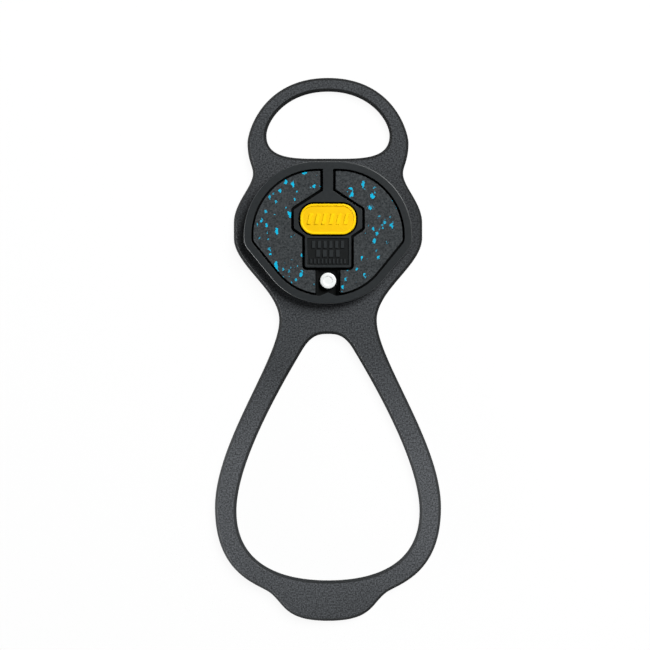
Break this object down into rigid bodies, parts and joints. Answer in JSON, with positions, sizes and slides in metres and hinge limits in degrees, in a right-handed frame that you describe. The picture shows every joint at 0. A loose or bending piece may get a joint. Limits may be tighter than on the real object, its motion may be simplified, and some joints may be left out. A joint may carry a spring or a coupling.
{
  "type": "shoe ice cleats",
  "caption": "Stretch-on rubber overshoe with a toe loop, a heel loop with pull tab, and a raised pod of ice-grip pads under the ball of the foot.",
  "frame": {"origin": "centre of the pod on the flat face that lies against the shoe sole", "axes": "+Y along the shoe towards the toe, +X to the right seen from the grip side, +Z out of the grip face"},
  "size_m": [0.0904, 0.2171, 0.0076],
  "materials": {
    "band_rubber": "fine grained top and bottom, smooth side walls",
    "pod_rubber": "smooth matte",
    "grip_compound": "matte with pale blue flecks",
    "badge_yellow": "satin",
    "indicator_white": "matte"
  },
  "bodies": {
    "pod": {"pod_flange": "band_rubber", "pod_shell": "pod_rubber", "left_grip_pad": "grip_compound", "right_grip_pad": "grip_compound", "badge": "badge_yellow", "ice_indicator": "indicator_white", "left_toe_flex": "band_rubber", "right_toe_flex": "band_rubber", "neck_flex": "band_rubber"},
    "toe_legs": {"left_toe_leg": "band_rubber", "right_toe_leg": "band_rubber"},
    "toe_arch": {"toe_arch": "band_rubber"},
    "heel_fork": {"heel_fork": "band_rubber", "left_heel_arm": "band_rubber", "right_heel_arm": "band_rubber"},
    "heel_sides": {"left_heel_side": "band_rubber", "right_heel_side": "band_rubber", "left_heel_bend": "band_rubber", "right_heel_bend": "band_rubber"},
    "heel_sling": {"heel_sling": "band_rubber", "pull_tab": "band_rubber"}
  },
  "joints": [
    {"name": "toe_fold", "type": "hinge", "parent": "pod", "child": "toe_legs", "pos_m": [0, 0.0355, 0.0015], "axis": [1, 0, 0], "range_deg": [-120, 120], "stiffness_Nm_per_rad": 0.008, "deforming": ["left_toe_flex", "right_toe_flex"]},
    {"name": "toe_stretch", "type": "slide", "parent": "toe_legs", "child": "toe_arch", "axis": [0, 1, 0], "range_m": [0, 0.012], "stiffness_N_per_m": 300, "deforming": ["left_toe_leg", "right_toe_leg"]},
    {"name": "neck_fold", "type": "hinge", "parent": "pod", "child": "heel_fork", "pos_m": [0, -0.034, 0.0015], "axis": [-1, 0, 0], "range_deg": [-100, 120], "stiffness_Nm_per_rad": 0.019, "deforming": ["neck_flex"]},
    {"name": "heel_stretch", "type": "slide", "parent": "heel_fork", "child": "heel_sides", "axis": [0, -1, 0], "range_m": [0, 0.045], "stiffness_N_per_m": 800, "deforming": ["left_heel_arm", "right_heel_arm"]},
    {"name": "sling_fold", "type": "hinge", "parent": "heel_sides", "child": "heel_sling", "pos_m": [0, -0.1115, 0.0015], "axis": [-1, 0, 0], "range_deg": [-120, 120], "stiffness_Nm_per_rad": 0.004, "deforming": ["left_heel_bend", "right_heel_bend"]}
  ]
}
